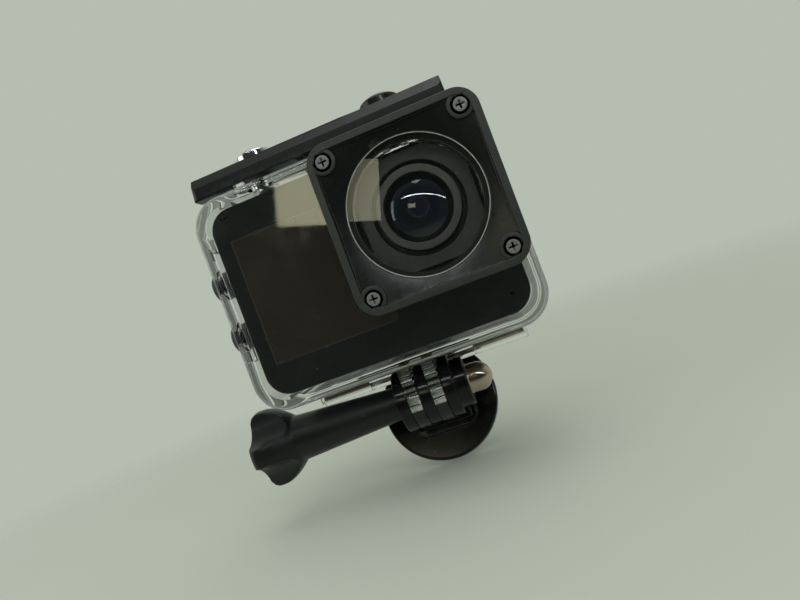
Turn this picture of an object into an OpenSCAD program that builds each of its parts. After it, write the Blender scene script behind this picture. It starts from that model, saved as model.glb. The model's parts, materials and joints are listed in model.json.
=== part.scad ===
// Action camera in a clear dive case, on a folding tripod base.
// Units are millimetres. +X is to the right as seen from the front, +Y runs from the lens to the
// rear door, +Z is up. The origin is the mouth of the tripod socket in the base.

/* [Camera body] */
// Width of the camera
cam_w = 63; // [56:1:80]
// Height of the camera
cam_h = 45; // [40:1:60]
// Depth of the camera from front panel to back
cam_d = 25.4; // [23:0.2:34]
// Corner radius of the camera
cam_r = 5.5; // [3:0.5:7]
// Wall of the camera casing
cam_wall = 1.5; // [1:0.1:2]
// Thickness of the front panel
panel_t = 1.2; // [1:0.1:1.6]
// Width of the front display
front_disp_w = 30; // [20:1:32]
// Height of the front display
front_disp_h = 29.8; // [20:0.2:32]
// Left edge of the front display, from the centre of the camera
front_disp_x = -27.8; // [-28.2:0.1:-27]
// Width of the rear screen
rear_disp_w = 49; // [40:1:52]
// Height of the rear screen
rear_disp_h = 33; // [26:1:36]

/* [Camera lens] */
// Lens axis to the right of the camera centre
lens_x = 15.2; // [14:0.2:15.6]
// Lens axis above the camera centre
lens_z = 5.8; // [4:0.2:6]
// Side of the square lens plate
plate_side = 25.2; // [24:0.2:26]
// Radius of the lens ring
lens_ring_r = 9; // [8:0.1:9.4]
// Radius of the front lens element
lens_glass_r = 7.3; // [6:0.1:7.6]
// Width of the groove around the lens ring
lens_groove = 1.1; // [0.6:0.1:1.4]

/* [Case shell] */
// Wall of the case
case_wall = 2.2; // [1.8:0.1:2.6]
// Side clearance between camera and case
side_gap = 1.1; // [1:0.1:2.4]
// Clearance between camera and case above and below
tall_gap = 1; // [0.8:0.1:1.6]
// Thickness of the clear front wall
front_wall = 1.8; // [1.5:0.1:2]
// Outer corner radius of the case
case_r = 7.5; // [6:0.5:9]
// Thickness of the door seal
seal_t = 1; // [0.8:0.1:1.4]
// Wall of the rear door
door_wall = 1.8; // [1.5:0.1:2.2]

/* [Lens frame] */
// Side of the square lens frame
frame_side = 36.9; // [36:0.1:38]
// Distance the frame stands out from the case front
frame_out = 9; // [8:0.2:11]
// Corner radius of the frame
frame_r = 4.8; // [4:0.1:5.4]
// Width of the raised rim
rim_w = 1.6; // [1.2:0.1:2]
// Thickness of the frame's face over the window
frame_face = 2.3; // [2:0.1:2.6]
// Free radius of the window
window_r = 14.7; // [14.2:0.1:14.8]
// Thickness of the window glass
window_t = 2; // [1.6:0.1:2.2]
// Distance between neighbouring frame screws
screw_pitch = 29.6; // [29.2:0.1:30]
// Radius of a frame screw's head
screw_head_r = 1.3; // [1.1:0.05:1.4]

/* [Buttons] */
// Radius of the two top buttons
top_cap_r = 4.9; // [4.5:0.1:5.2]
// Top of the top buttons above the case
top_cap_rise = 10.6; // [9.6:0.2:12]
// Distance of the top buttons behind the case front
top_button_y = 12; // [11.6:0.2:12.6]
// Shutter button from the camera centre
shutter_x = -18.6; // [-19:0.2:-17]
// Power button from the camera centre
power_x = 14.4; // [13:0.2:15.5]
// Travel of every button
press = 1.2; // [0.8:0.1:1.4]
// Travel of the camera's own keys
key_press = 0.6; // [0.4:0.1:0.8]
// Radius of every button stem
stem_r = 1.5; // [1.2:0.1:1.7]
// Radius of a side button
side_cap_r = 3.4; // [2.8:0.1:3.6]
// Distance a side button stands out of the case
side_cap_rise = 4.4; // [3.2:0.1:4.8]
// Distance of the side buttons behind the case front
side_button_y = 9.5; // [9:0.5:12]
// Height of the upper side button
side_upper_z = 7; // [6:0.5:9]
// Height of the lower side button
side_lower_z = -6.2; // [-8:0.2:-5]

/* [Latch] */
// Length of the latch bar
bar_w = 61; // [56:1:64]
// Shift of the bar's middle to the right
bar_x = -1.6; // [-2:0.1:-1]
// Height of the latch bar
bar_h = 5.4; // [5:0.1:6]
// Depth of the latch bar
bar_d = 4; // [3.8:0.1:4.4]
// Width of the strap that reaches the door
strap_w = 14; // [10:1:15]
// Middle of the strap from the camera centre
strap_x = -1.9; // [-3:0.1:-1]
// Radius of the latch pins
latch_pin_r = 0.6; // [0.5:0.05:0.7]

/* [Door hinge] */
// Radius of the hinge barrel
barrel_r = 2.3; // [2:0.1:2.5]
// Length of the whole hinge barrel
barrel_w = 58; // [52:1:60]
// Length of the case's middle knuckle
knuckle_w = 29.2; // [24:0.2:32]
// Radius of the hinge pin
hinge_pin_r = 0.9; // [0.7:0.1:1]
// Distance of the hinge axis below the case
hinge_drop = 3.5; // [3.3:0.1:4]

/* [Fingers] */
// Thickness of a mounting finger
finger_t = 2.8; // [2.6:0.1:3]
// Side play between two fingers
finger_play = 0.1; // [0.08:0.01:0.14]
// Radius of a finger's round end
finger_r = 7.5; // [7:0.1:7.8]
// Middle of the fingers from the camera centre
mount_x = 0.95; // [-2:0.05:3]
// Distance of the pivot in front of the door hinge
pivot_ahead = 12.2; // [11.4:0.2:13]
// Distance of the pivot below the case
pivot_drop = 9.1; // [8.9:0.1:10]

/* [Base] */
// Angle by which the base is folded back
fold = 68; // [60:1:70]
// Radius of the base disc
disc_r = 15.5; // [14.5:0.1:16]
// Thickness of the base disc
disc_t = 3.2; // [2.8:0.1:4]
// Distance from the pivot to the near face of the disc
disc_reach = 12.9; // [12.7:0.1:14]
// Radius of the tripod thread
socket_r = 3.175; // [3.175:0.001:3.175]
// Depth of the tripod thread
socket_depth = 6.2; // [5.5:0.1:6.4]
// Wall of the brass insert
insert_wall = 1; // [0.8:0.1:1.2]

/* [Thumb screw] */
// Radius of the steel screw
rod_r = 2.5; // [2:0.1:2.6]
// Length of the plastic handle
handle_w = 37.8; // [32:0.5:40]
// Radius of the handle beside the fingers
handle_tip_r = 4; // [3.8:0.1:4.6]
// Radius of the handle at the neck of the knob
handle_neck_r = 5.7; // [5:0.1:6]
// Radius of the knob over its lobes
knob_r = 9.7; // [8.5:0.1:9.8]
// Radius of the nut across its corners
nut_r = 4.4; // [4.2:0.1:4.8]

/* [Hidden] */
$fn = 64;

fit = 0.05;          // radial clearance of a running fit
slip = 0.1;          // clearance beside a sliding face
eps = 0.01;          // overlap that makes two shapes one

// Case, from the camera outwards
cam_y0 = front_wall + 0.2;                        // front face of the camera
cam_y1 = cam_y0 + cam_d;                          // back face of the camera
cavity_w = cam_w + 2 * side_gap;
cavity_h = cam_h + 2 * tall_gap;
cavity_r = case_r - case_wall;
case_w = cavity_w + 2 * case_wall;
case_h = cavity_h + 2 * case_wall;
top = case_h / 2;
side = case_w / 2;
shell_d = cam_y1 - 3.4;                           // back rim of the clear shell
door_y0 = shell_d + seal_t;                       // front rim of the rear door
door_in = cam_y1 + 0.8;                           // inner face of the rear door
door_y1 = door_in + door_wall;                    // outer face of the rear door

rib_w = 3;
rest_x = cam_w / 2 - 5.5;                         // ribs over and under the camera
rest_zs = [side_lower_z - 6.3, side_upper_z + 7]; // ribs beside the camera

// Lens frame and the clear block that it covers
block_side = frame_side - 2 * rim_w - 0.2;
block_out = frame_out - frame_face - slip;        // front of the clear block
seat_r = window_r + 0.5;                          // radius of the glass
seat_out = block_out - window_t;                  // back of the glass
window_seal_t = 0.8;
bore_r = window_r - 1.4;
pocket_side = plate_side + 2;                     // room for the lens plate in the block
pocket_out = 2.4;
boss_r = 2.25;                                    // round bosses under the screws
boss_sink = 0.3;                                  // boss below the rim
head_sink = 0.5;                                  // screw head below the rim
head_t = 1;
hex_r = 2;
shank_r = 0.8;
shank_l = 4.4;
plate_out = cam_y0 + 1.3;                         // how far the lens plate stands forward
ring_out = cam_y0 + 2.9;                          // how far the lens ring stands forward

// Hinge and pivot
hinge_y = shell_d + 2;
hinge_z = -top - hinge_drop;
pivot_y = hinge_y - pivot_ahead;
pivot_z = -top - pivot_drop;
pitch = finger_t + finger_play;
stack_w = 5 * finger_t + 4 * finger_play;
stack_x = mount_x - stack_w / 2;                  // left face of the first finger
rod_hole_r = rod_r + fit;

// Latch
bar_z = top + 0.3;                                // underside of the bar
latch_y = bar_d - 1.1;                            // axis of the bar
latch_z = bar_z + 1.5;
strap_y = bar_d - 0.7;                            // axis of the strap in the bar
strap_z = latch_z + 2.1;
bar_chamfer = 1.9;
strap_t = 1.3;
strap_eye_r = 1.1;
catch_h = 1.4;                                    // height of the catch on the door
lug_w = 2.4;
relief_w = bar_w - 19.4;                          // shallow relief under the bar
relief_h = 0.5;
lug_xs = [bar_x - bar_w / 2 + 10.6, bar_x + bar_w / 2 - 9.4];

// Buttons and keys
guide_r = stem_r + fit;
collar_r = stem_r + 1.8;
collar_h = 2.4;
key_r = 2.6;
key_rise = 0.5;                                   // how far a key stands out of the camera
key_gap = press - key_press + slip;               // rest gap between a stem and its key
stem_end_z = cam_h / 2 + key_rise + key_gap;
stem_end_x = -cam_w / 2 - key_rise - key_gap;
groove_t = 0.7;                                   // groove for a sealing ring
groove_z = 0.6;
ring_r = 0.25;
groove_r = stem_r + fit + 2 * ring_r + 0.04;
cap_wall = 1;
side_recess = 0.3;
side_dome = 1;
boot_l = side_cap_rise - side_dome - cap_wall - press - slip + side_recess;
cap_skirt = 4.2;
spring_wire = 0.25;
spring_turns = 4;

// Base, drawn hanging down from its pivot
disc_back = disc_reach + disc_t;
saddle = finger_r + 0.6;                          // where the gaps between the fingers end
saddle_d = 13.2;
pad_w = stack_w + 3;
pad_d = 17;
pad_t = 1.2;
insert_r = socket_r + insert_wall;
insert_l = socket_depth + 1;
nut_boss_w = 3.1;
nut_boss_r = 6.1;
nut_h = 3;
nut_x = stack_x + stack_w + 0.3;                   // inner face of the nut
knob_w = 10.4;                                    // length of the flared knob
rod_end_x = stack_x - handle_w * 0.55;            // end of the steel screw inside the handle

socket = [mount_x, pivot_y + disc_back * sin(fold), pivot_z - disc_back * cos(fold)];

// ---- shared shapes ----

// Rectangle with round corners, flat in XY
module round_rect(w, h, r) {
    square([w, h - 2 * r], center = true);
    square([w - 2 * r, h], center = true);
    for (x = [-1, 1], y = [-1, 1]) translate([x * (w / 2 - r), y * (h / 2 - r)]) circle(r = r);
}

// Plate with round corners, upright, from y0 back to y1
module slab(w, h, r, y0, y1) {
    translate([0, y1, 0]) rotate([90, 0, 0]) linear_extrude(y1 - y0) round_rect(w, h, r);
}

// Block centred on x and z, from y0 back to y1
module bar(w, h, y0, y1) {
    translate([-w / 2, y0, -h / 2]) cube([w, y1 - y0, h]);
}

module rod_x(r, x0, x1) {
    translate([x0, 0, 0]) rotate([0, 90, 0]) cylinder(r = r, h = x1 - x0);
}

module rod_y(r, y0, y1) {
    translate([0, y1, 0]) rotate([90, 0, 0]) cylinder(r = r, h = y1 - y0);
}

// Outline in the YZ plane, drawn out along X
module profile_x(x0, x1, points) {
    translate([x0, 0, 0]) rotate([90, 0, 90]) linear_extrude(x1 - x0) polygon(points);
}

module at_lens() translate([lens_x, 0, lens_z]) children();
module at_hinge() translate([0, hinge_y, hinge_z]) children();
module at_pivot() translate([0, pivot_y, pivot_z]) children();
module at_screws() for (x = [-1, 1], z = [-1, 1])
    at_lens() translate([x * screw_pitch / 2, 0, z * screw_pitch / 2]) children();
module at_strap() translate([strap_x, strap_y, strap_z]) children();
module at_shutter() translate([shutter_x, top_button_y, 0]) children();
module at_power() translate([power_x, top_button_y, 0]) children();
module at_side(z) translate([0, side_button_y, z]) children();

// Everything is drawn round the camera and then moved to the tripod socket
module place() translate(-socket) children();

// Open coil spring standing on z = 0
module coil(r, h) {
    wire_sides = 6;
    steps = 12;
    rings = spring_turns * steps;
    function ring(i) = [for (k = [0 : wire_sides - 1])
        let (a = 360 * i / steps, b = 360 * k / wire_sides, d = r + spring_wire * cos(b))
        [d * cos(a), d * sin(a), spring_wire * (1 + sin(b)) + (h - 2 * spring_wire) * i / rings]];
    points = [for (i = [0 : rings]) each ring(i)];
    walls = [for (i = [0 : rings - 1], k = [0 : wire_sides - 1])
        let (n = (k + 1) % wire_sides, a = i * wire_sides, b = a + wire_sides)
        [a + k, b + k, b + n, a + n]];
    first = [for (k = [0 : wire_sides - 1]) k];
    last = [for (k = [0 : wire_sides - 1]) rings * wire_sides + wire_sides - 1 - k];
    polyhedron(points = points, faces = concat(walls, [first, last]));
}

// ---- case ----

module case_shell() color([0.9, 0.93, 0.93, 0.35]) difference() {
    union() {
        slab(case_w, case_h, case_r, 0, shell_d);
        at_lens() slab(block_side, block_side, frame_r - rim_w, -block_out, eps);
        for (x = [shutter_x, power_x]) translate([x, top_button_y, top - eps])
            cylinder(r = collar_r, h = collar_h);
        case_fingers();
        case_knuckle();
        latch_lugs();
    }
    difference() {
        slab(cavity_w, cavity_h, cavity_r, front_wall, shell_d + 1);
        camera_rests();
    }
    at_lens() slab(pocket_side, pocket_side, 3, -pocket_out, front_wall + 1);
    at_lens() rod_y(bore_r, -block_out - 1, 0);
    at_lens() rod_y(seat_r + 0.03, -block_out - 1, -seat_out + window_seal_t);
    at_screws() rod_y(shank_r, -block_out - 1, -block_out + shank_l);
    for (x = [shutter_x, power_x]) translate([x, top_button_y, 0]) {
        cylinder(r = guide_r, h = top + collar_h + 1);
        translate([0, 0, top + groove_z]) cylinder(r = groove_r, h = groove_t);
    }
    for (z = [side_upper_z, side_lower_z]) at_side(z) {
        rod_x(guide_r, -side - 1, 0);
        rod_x(groove_r, -side + groove_z, -side + groove_z + groove_t);
        rod_x(side_cap_r + 0.3, -side - 1, -side + side_recess);
    }
    at_pivot() rod_x(rod_hole_r, -50, 50);
    at_hinge() rod_x(hinge_pin_r, -50, 50);
    for (x = lug_xs) translate([x, latch_y, latch_z]) rod_x(latch_pin_r + fit, -lug_w, lug_w);
}

// Ribs that hold the camera off the walls of the case
module camera_rests() {
    for (x = [-rest_x, rest_x]) {
        translate([x - rib_w / 2, front_wall, -cavity_h / 2 - 1]) cube([rib_w, shell_d, tall_gap - fit + 1]);
        translate([x - rib_w / 2, front_wall, cam_h / 2 + fit]) cube([rib_w, shell_d, tall_gap + 1]);
    }
    for (z = rest_zs) {
        translate([-cavity_w / 2 - 1, front_wall, z]) cube([side_gap - fit + 1, shell_d, rib_w]);
        translate([cam_w / 2 + fit, front_wall, z]) cube([side_gap + 1, shell_d, rib_w]);
    }
}

// Two fingers that stand between the three fingers of the base, with a serrated front edge
module case_fingers() {
    notch = 0.45;
    for (i = [1, 3]) at_pivot() translate([stack_x + i * pitch, 0, 0]) difference() {
        union() {
            rod_x(finger_r, 0, finger_t);
            translate([0, -finger_r, 0]) cube([finger_t, 2 * finger_r, pivot_drop + 0.5]);
        }
        for (k = [0 : 6]) rotate([-k * 13, 0, 0]) translate([0, -finger_r - 0.1, 0])
            rod_x(notch, -1, finger_t + 1);
    }
}

module case_knuckle() {
    at_hinge() rod_x(barrel_r, -knuckle_w / 2, knuckle_w / 2);
    profile_x(-knuckle_w / 2, knuckle_w / 2, [
        [shell_d - 5, -top + 0.5], [shell_d, -top + 0.5], [shell_d, -top],
        [hinge_y, hinge_z + barrel_r - 0.2], [hinge_y - barrel_r + 0.1, hinge_z]
    ]);
}

// Ears on the top edge that carry the latch bar
module latch_lugs() for (x = lug_xs) {
    translate([x, latch_y, latch_z]) rod_x(1.35, -lug_w / 2, lug_w / 2);
    translate([x - lug_w / 2, latch_y - 1.35, top - eps]) cube([lug_w, 2.7, latch_z - top]);
}

module lens_frame() color([0.06, 0.06, 0.065]) difference() {
    union() {
        difference() {
            at_lens() slab(frame_side, frame_side, frame_r, -frame_out, 0);
            intersection() {
                inner = frame_side - 2 * rim_w;
                at_lens() slab(inner, inner, frame_r - rim_w, -frame_out - 1, 0);
                at_lens() funnel();
            }
        }
        at_screws() rod_y(boss_r, -frame_out + boss_sink, -block_out - slip - eps);
    }
    at_lens() slab(block_side + 2 * slip, block_side + 2 * slip, frame_r - rim_w + slip,
        -block_out - slip, 1);
    at_lens() rod_y(window_r, -frame_out - 1, 0);
    at_screws() rod_y(shank_r + fit, -frame_out - 1, 0);
    at_screws() translate([0, -frame_out + head_sink + head_t, 0]) rotate([90, 0, 0])
        cylinder(r = hex_r, h = 3, $fn = 6);
}

// Concave flare that runs from the rim of the frame down to the window
module funnel() {
    wide = frame_side * 0.72;
    deep = frame_face - 0.35;
    steps = 8;
    outline = [for (i = [0 : steps]) let (t = i / steps)
        [window_r + (wide - window_r) * t, deep * (1 - (1 - t) * (1 - t))]];
    translate([0, -frame_out + deep, 0]) rotate([90, 0, 0]) rotate_extrude()
        polygon(concat([[0, 0]], outline, [[wide, deep + 2], [0, deep + 2]]));
}

module window_glass() color([0.75, 0.85, 0.85, 0.3])
    at_lens() rod_y(seat_r, -block_out + 0.02, -seat_out);

module window_seal() color([0.1, 0.1, 0.1]) at_lens() difference() {
    rod_y(seat_r, -seat_out, -seat_out + window_seal_t);
    rod_y(bore_r + 0.3, -seat_out - 1, 2);
}

module frame_screws() color([0.16, 0.16, 0.17]) at_screws() {
    head_y = -frame_out + head_sink + head_t;
    difference() {
        union() {
            rod_y(screw_head_r, head_y - head_t, head_y);
            rod_y(shank_r - 0.02, head_y - eps, -block_out + shank_l - 0.3);
        }
        for (a = [0, 90]) rotate([0, a, 0]) bar(1.7, 0.36, head_y - 2, head_y - 0.45);
    }
}

// ---- rear door ----

module rear_door() color([0.9, 0.93, 0.93, 0.35]) difference() {
    union() {
        slab(case_w, case_h, case_r, door_y0, door_y1);
        door_knuckles();
        translate([strap_x - strap_w / 2, door_y0 + 0.3, top - eps])
            cube([strap_w, door_y1 - door_y0 - 0.8, catch_h]);
    }
    slab(cavity_w, cavity_h, cavity_r, door_y0 - 1, door_in);
    at_hinge() rod_x(hinge_pin_r + fit, -50, 50);
}

module door_knuckles() {
    long = (barrel_w - knuckle_w) / 2 - slip;
    for (s = [-1, 1]) {
        x0 = s > 0 ? barrel_w / 2 - long : -barrel_w / 2;
        at_hinge() rod_x(barrel_r, x0, x0 + long);
        profile_x(x0, x0 + long, [
            [hinge_y, hinge_z], [hinge_y + barrel_r, hinge_z], [door_y1 - 0.6, -top + 0.6],
            [door_y0 + 0.5, -top + 0.6], [door_y0 + 0.3, -top], [hinge_y, hinge_z + barrel_r - 0.1]
        ]);
    }
}

module door_seal() color([0.75, 0.76, 0.76]) difference() {
    slab(case_w - 1, case_h - 1, case_r - 0.5, shell_d, door_y0);
    slab(cavity_w + 0.6, cavity_h + 0.6, cavity_r + 0.3, shell_d - 1, door_y0 + 1);
}

module hinge_pin() color([0.55, 0.45, 0.36])
    at_hinge() rod_x(hinge_pin_r, -barrel_w / 2 + 0.8, barrel_w / 2 - 0.8);

// ---- latch ----

module latch_bar() color([0.07, 0.075, 0.08]) difference() {
    profile_x(bar_x - bar_w / 2, bar_x + bar_w / 2, [
        [0, bar_z + 0.3], [0.3, bar_z], [bar_d - 0.5, bar_z], [bar_d, bar_z + 0.5],
        [bar_d, bar_z + bar_h - 0.3], [bar_d - 0.3, bar_z + bar_h], [bar_chamfer, bar_z + bar_h],
        [0, bar_z + bar_h / 2]
    ]);
    for (x = lug_xs) translate([x - lug_w / 2 - slip, latch_y - 2, bar_z - 1])
        cube([lug_w + 2 * slip, bar_d, 4.4]);
    translate([strap_x - strap_w / 2 - slip, bar_chamfer + 0.1, strap_z - strap_eye_r - 0.15])
        cube([strap_w + 2 * slip, bar_d, bar_h]);
    for (x = lug_xs) translate([x, latch_y, latch_z]) rod_x(latch_pin_r, -3.4, 3.4);
    at_strap() rod_x(latch_pin_r, -strap_w / 2 - 2, strap_w / 2 + 2);
    bar_relief();
}

// Relief under the bar that leaves two short teeth standing
module bar_relief() translate([bar_x, 0, bar_z]) difference() {
    tooth_x = 4.1;
    translate([-relief_w / 2, -1, -1]) cube([relief_w, bar_d + 2, relief_h + 1]);
    for (x = [-tooth_x, tooth_x]) translate([x - 1, -2, -2]) cube([2, bar_d + 4, 3]);
}

// Strap from the bar over the top of the case to the catch on the door
module latch_strap() color([0.07, 0.075, 0.08]) difference() {
    union() {
        at_strap() rod_x(strap_eye_r, -strap_w / 2, strap_w / 2);
        translate([strap_x - strap_w / 2, strap_y, strap_z - strap_t / 2])
            cube([strap_w, door_y1 - 0.4 - strap_y, strap_t]);
        translate([strap_x - strap_w / 2, door_y0 + 0.6, top + catch_h + slip])
            cube([strap_w, door_y1 - door_y0 - 1, strap_z - top - catch_h - slip]);
    }
    at_strap() rod_x(latch_pin_r + fit, -strap_w, strap_w);
}

module latch_pins() color([0.7, 0.7, 0.72]) for (x = lug_xs)
    translate([x, latch_y, latch_z]) rod_x(latch_pin_r, -3.3, 3.3);

module strap_pin() color([0.7, 0.7, 0.72])
    at_strap() rod_x(latch_pin_r, -strap_w / 2 - 1.9, strap_w / 2 + 1.9);

// ---- buttons in the case ----

// Domed cap on a stem, standing over the case
module top_button() {
    z1 = top + top_cap_rise;
    dome_h = 1.6;
    dome_r = (top_cap_r * top_cap_r + dome_h * dome_h) / (2 * dome_h);
    difference() {
        union() {
            translate([0, 0, z1 - cap_skirt - dome_h]) cylinder(r = top_cap_r, h = cap_skirt);
            intersection() {
                translate([0, 0, z1 - dome_r]) sphere(r = dome_r);
                translate([0, 0, z1 - dome_h - eps]) cylinder(r = top_cap_r, h = dome_h + 1);
            }
        }
        translate([0, 0, z1 - cap_skirt - dome_h - 1])
            cylinder(r = top_cap_r - cap_wall, h = cap_skirt + 1 - cap_wall);
    }
    translate([0, 0, stem_end_z]) cylinder(r = stem_r, h = z1 - dome_h - stem_end_z);
}

// Sealing ring round a stem
module seal_ring(z) {
    translate([0, 0, z]) rotate_extrude() translate([stem_r + fit + 0.02 + ring_r, 0])
        circle(r = ring_r, $fn = 24);
}

module button_spring() {
    z0 = top + collar_h;
    room = top + top_cap_rise - 1.6 - cap_wall - press - z0;
    translate([0, 0, z0 + 0.05]) coil(stem_r + 0.9, room - 0.15);
}

module shutter_button() color([0.85, 0.85, 0.86]) at_shutter() top_button();
module shutter_spring() color([0.7, 0.7, 0.72]) at_shutter() button_spring();
module shutter_seal() color([0.1, 0.1, 0.1]) at_shutter() seal_ring(top + groove_z + groove_t / 2);
module power_button() color([0.08, 0.08, 0.09]) at_power() top_button();
module power_spring() color([0.7, 0.7, 0.72]) at_power() button_spring();
module power_seal() color([0.1, 0.1, 0.1]) at_power() seal_ring(top + groove_z + groove_t / 2);

// Side button: a round cap with a domed end and a stem that reaches the camera
module side_button(z) at_side(z) {
    x0 = -side - side_cap_rise;
    dome_h = side_dome;
    dome_r = (side_cap_r * side_cap_r + dome_h * dome_h) / (2 * dome_h);
    difference() {
        union() {
            rod_x(side_cap_r, x0 + dome_h, -side - press - slip + side_recess);
            intersection() {
                translate([x0 + dome_r, 0, 0]) sphere(r = dome_r);
                rod_x(side_cap_r, x0 - 1, x0 + dome_h + eps);
            }
        }
        rod_x(side_cap_r - 0.7, x0 + dome_h + cap_wall, -side + 1);
    }
    rod_x(stem_r, x0 + dome_h, stem_end_x);
}

module side_button_upper() color([0.62, 0.58, 0.72]) side_button(side_upper_z);
module side_button_lower() color([0.62, 0.58, 0.72]) side_button(side_lower_z);

// Soft collars that push the side buttons back out
module side_boots() color([0.12, 0.12, 0.12]) for (z = [side_upper_z, side_lower_z])
    at_side(z) difference() {
        rod_x(stem_r + 0.75, -side + side_recess - boot_l, -side + side_recess);
        rod_x(stem_r + 0.12, -side - 5, -side + 1);
    }

module side_seals() color([0.1, 0.1, 0.1]) for (z = [side_upper_z, side_lower_z])
    at_side(z) translate([-side + groove_z + groove_t / 2, 0, 0]) rotate([0, 90, 0]) seal_ring(0);

// ---- camera ----

module front_panel() color([0.02, 0.02, 0.025]) difference() {
    slab(cam_w, cam_h, cam_r, cam_y0, cam_y0 + panel_t);
    translate([front_disp_x + front_disp_w / 2, 0, 0])
        bar(front_disp_w + fit, front_disp_h + fit, cam_y0 + 0.4, 10);
    at_lens() slab(plate_side + 2 * fit, plate_side + 2 * fit, 3.5 + fit, 0, 10);
    translate([-cam_w / 2 + 3.3, 0, cam_h / 2 - 2.2]) rod_y(0.3, 0, 10);
    translate([-cam_w / 2 + 4.3, 0, cam_h / 2 - 2.2]) rod_y(0.3, 0, 10);
    translate([cam_w / 2 - 4.2, 0, -cam_h / 2 + 4.4]) rod_y(0.5, 0, 10);
}

module front_display() color([0.05, 0.05, 0.07]) translate([front_disp_x + front_disp_w / 2, 0, 0])
    bar(front_disp_w, front_disp_h, cam_y0 + 0.4, cam_y0 + 2.6);

module lens_plate() color([0.05, 0.05, 0.055]) at_lens() difference() {
    slab(plate_side, plate_side, 3.5, cam_y0 - plate_out, cam_y0 + 2.2);
    rod_y(lens_ring_r + lens_groove, -10, cam_y0 + 0.8);
    rod_y(lens_ring_r + fit, -10, 10);
}

module lens_ring() color([0.2, 0.19, 0.18]) at_lens() difference() {
    rod_y(lens_ring_r, cam_y0 - ring_out, cam_y0 + 6);
    rod_y(lens_glass_r + fit, -10, cam_y0 + 0.8);
    rod_y(lens_glass_r - 1, -10, 20);
}

module lens_element() color([0.1, 0.12, 0.2]) at_lens() {
    bulge = 2.4;
    back = cam_y0 + 0.8;
    ball_r = (lens_glass_r * lens_glass_r + bulge * bulge) / (2 * bulge);
    base_y = cam_y0 - ring_out + 1.6;
    rod_y(lens_glass_r, base_y, back);
    intersection() {
        translate([0, base_y - bulge + ball_r, 0]) sphere(r = ball_r);
        rod_y(lens_glass_r, base_y - bulge - 1, base_y + eps);
    }
}

module lens_barrel() color([0.08, 0.08, 0.08]) at_lens() difference() {
    rod_y(lens_ring_r - 0.6, cam_y0 + 6, cam_y0 + 13.5);
    rod_y(5, cam_y0 + 5, cam_y0 + 12.5);
    rod_y(3.4, cam_y0 + 5, cam_y0 + 14);
}

module camera_casing() color([0.09, 0.09, 0.1]) difference() {
    slab(cam_w, cam_h, cam_r, cam_y0 + panel_t, cam_y1 - 2.4);
    slab(cam_w - 2 * cam_wall, cam_h - 2 * cam_wall, cam_r - cam_wall, 0, cam_y1);
    for (x = [shutter_x, power_x]) translate([x, top_button_y, 0])
        cylinder(r = key_r + fit, h = cam_h);
    for (z = [side_upper_z, side_lower_z]) at_side(z) rod_x(key_r + fit, -cam_w, 0);
    battery_hatch(slip);
}

// Hatch in the underside of the casing, with some play around it
module battery_hatch(play) {
    hatch_w = 34;
    hatch_d = 10;
    translate([-cam_w / 2 + 8 - play, cam_y0 + 9 - play, -cam_h / 2])
        cube([hatch_w + 2 * play, hatch_d + 2 * play, cam_wall]);
}

module battery_door() color([0.1, 0.1, 0.11]) battery_hatch(0);

module rear_cover() color([0.09, 0.09, 0.1]) difference() {
    slab(cam_w, cam_h, cam_r, cam_y1 - 2.4, cam_y1);
    bar(rear_disp_w + fit, rear_disp_h + fit, cam_y1 - 1.6, cam_y1 + 1);
    bar(rear_disp_w - 4, rear_disp_h - 4, cam_y1 - 3, cam_y1);
    for (x = [-1, 1], z = [-1, 1]) cover_hole(x, z) rod_y(0.7, -4, 4);
}

module cover_hole(x, z)
    translate([x * (cam_w / 2 - 4.2), cam_y1, z * (cam_h / 2 - 4.2)]) children();

module rear_screen() color([0.03, 0.03, 0.05]) bar(rear_disp_w, rear_disp_h, cam_y1 - 1.6, cam_y1);

module cover_screws() color([0.3, 0.3, 0.31]) for (x = [-1, 1], z = [-1, 1])
    cover_hole(x, z) difference() {
        rod_y(0.68, -4, -0.2);
        for (a = [0, 90]) rotate([0, a, 0]) bar(0.9, 0.22, -0.5, 1);
    }

module battery() color([0.25, 0.27, 0.32]) {
    bat_w = 32;
    bat_h = cam_h - 2 * cam_wall - 4;
    bat_d = 9;
    translate([-cam_w / 2 + cam_wall + 3.4 + bat_w / 2, 0, 0])
        slab(bat_w, bat_h, 2, cam_y0 + 11.5, cam_y0 + 11.5 + bat_d);
}

module main_board() color([0.05, 0.25, 0.12]) difference() {
    bar(cam_w - 2 * cam_wall - 9, cam_h - 2 * cam_wall - 4, cam_y0 + 9.4, cam_y0 + 10.6);
    at_lens() rod_y(lens_ring_r + 0.4, 0, 30);
}

module image_sensor() color([0.15, 0.3, 0.2]) at_lens() {
    bar(14, 12, cam_y0 + 14.4, cam_y0 + 15.6);
    bar(8, 6, cam_y0 + 13.7, cam_y0 + 14.4 + eps);
}

// Key on the camera: a flanged disc that is held by the casing
module key() {
    cylinder(r = key_r, h = cam_wall + key_rise);
    translate([0, 0, -0.5]) cylinder(r = key_r + 0.6, h = 0.5);
}
module top_key() translate([0, 0, cam_h / 2 - cam_wall]) key();
module side_key(z) at_side(z) translate([-cam_w / 2 + cam_wall, 0, 0]) rotate([0, -90, 0]) key();

module shutter_key() color([0.5, 0.05, 0.05]) at_shutter() top_key();
module power_key() color([0.12, 0.12, 0.13]) at_power() top_key();
module side_key_upper() color([0.12, 0.12, 0.13]) side_key(side_upper_z);
module side_key_lower() color([0.12, 0.12, 0.13]) side_key(side_lower_z);

// ---- tripod base and thumb screw ----

module at_base() at_pivot() rotate([fold, 0, 0]) children();

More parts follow.
